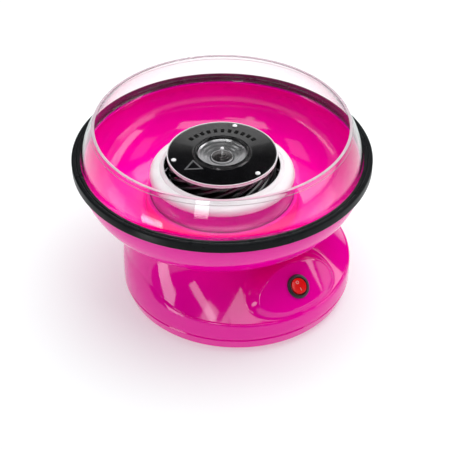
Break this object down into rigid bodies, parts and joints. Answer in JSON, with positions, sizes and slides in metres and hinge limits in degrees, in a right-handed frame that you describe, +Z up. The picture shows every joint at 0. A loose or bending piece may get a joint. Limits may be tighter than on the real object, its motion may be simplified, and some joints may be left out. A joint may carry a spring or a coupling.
{
  "type": "cotton candy machine",
  "caption": "Table-top cotton candy machine: scooped base with rocker switch, lift-off bowl and clear guard, and a spinning heated head.",
  "frame": {"origin": "point on the table below the spinning axis, which is also the centre of the rim ring", "axes": "+Z up along the spinning axis, -Y towards the switch, +X to the right seen from behind the switch looking back"},
  "size_m": [0.29, 0.29, 0.1771],
  "materials": {
    "pink_gloss": "glossy moulded plastic",
    "black_rim": "satin black moulding",
    "clear_acrylic": "clear polished",
    "aluminium": "satin spun",
    "black_enamel": "satin enamel",
    "switch_black": "satin",
    "switch_red": "glossy",
    "steel": "bright",
    "zinc_plate": "zinc plated",
    "brass": "turned",
    "copper": "turned copper",
    "varnished_core": "varnished windings",
    "carbon": "pressed",
    "phenolic": "moulded",
    "ceramic": "fired",
    "felt": "pressed felt",
    "rubber": "matt",
    "fan_plastic": "moulded",
    "terminal_plastic": "moulded",
    "lead_sleeve": "flexible sleeve"
  },
  "bodies": {
    "base": {"base_shell": "pink_gloss", "base_pan": "pink_gloss", "foot_1": "rubber", "foot_2": "rubber", "foot_3": "rubber", "foot_4": "rubber", "case_screw_1": "steel", "case_screw_2": "steel", "case_screw_3": "steel", "case_screw_4": "steel", "heater_cup": "aluminium", "heater_ring": "steel", "heater_bracket": "steel", "heater_bushing": "ceramic", "thermal_cutout": "phenolic", "shaft_seal": "felt", "cup_screw_1": "steel", "cup_screw_2": "steel", "cup_screw_3": "steel", "motor_can": "zinc_plate", "motor_end_bell": "zinc_plate", "bearing_upper": "brass", "bearing_lower": "brass", "magnet_left": "carbon", "magnet_right": "carbon", "brush_card": "phenolic", "brush_left": "carbon", "brush_right": "carbon", "motor_plate": "zinc_plate", "motor_grommet_1": "rubber", "motor_grommet_2": "rubber", "motor_grommet_3": "rubber", "motor_screw_1": "steel", "motor_screw_2": "steel", "motor_screw_3": "steel", "switch_housing": "switch_black", "rocker_pin": "steel", "cord_gland": "rubber", "terminal_block": "terminal_plastic", "wire_supply": "lead_sleeve", "wire_switch": "lead_sleeve", "wire_motor": "lead_sleeve"},
    "rotor": {"motor_shaft": "steel", "drive_pin": "steel", "cooling_fan": "fan_plastic", "armature": "varnished_core", "commutator": "copper"},
    "head": {"head_plate": "black_enamel", "head_dish": "aluminium", "head_funnel": "aluminium", "vane_ring": "black_enamel", "head_base": "aluminium", "drive_sleeve": "aluminium", "head_rivet_1": "steel", "head_rivet_2": "steel", "head_rivet_3": "steel"},
    "bowl": {"bowl": "pink_gloss", "rim_ring": "black_rim"},
    "guard": {"splash_guard": "clear_acrylic"},
    "rocker": {"switch_rocker": "switch_red"}
  },
  "joints": [
    {"name": "rotor_spin", "type": "hinge", "parent": "base", "child": "rotor", "pos_m": [0, 0, 0.1], "axis": [0, 0, 1], "continuous": true},
    {"name": "head_lift", "type": "slide", "parent": "rotor", "child": "head", "axis": [0, 0, 1], "range_m": [0, 0.05]},
    {"name": "bowl_lift", "type": "slide", "parent": "base", "child": "bowl", "axis": [0, 0, 1], "range_m": [0, 0.075]},
    {"name": "guard_lift", "type": "slide", "parent": "bowl", "child": "guard", "axis": [0, 0, 1], "range_m": [0, 0.05]},
    {"name": "rocker_tip", "type": "hinge", "parent": "base", "child": "rocker", "pos_m": [0, -0.11893, 0.05342], "axis": [1, 0, 0], "range_deg": [0, 16]}
  ]
}
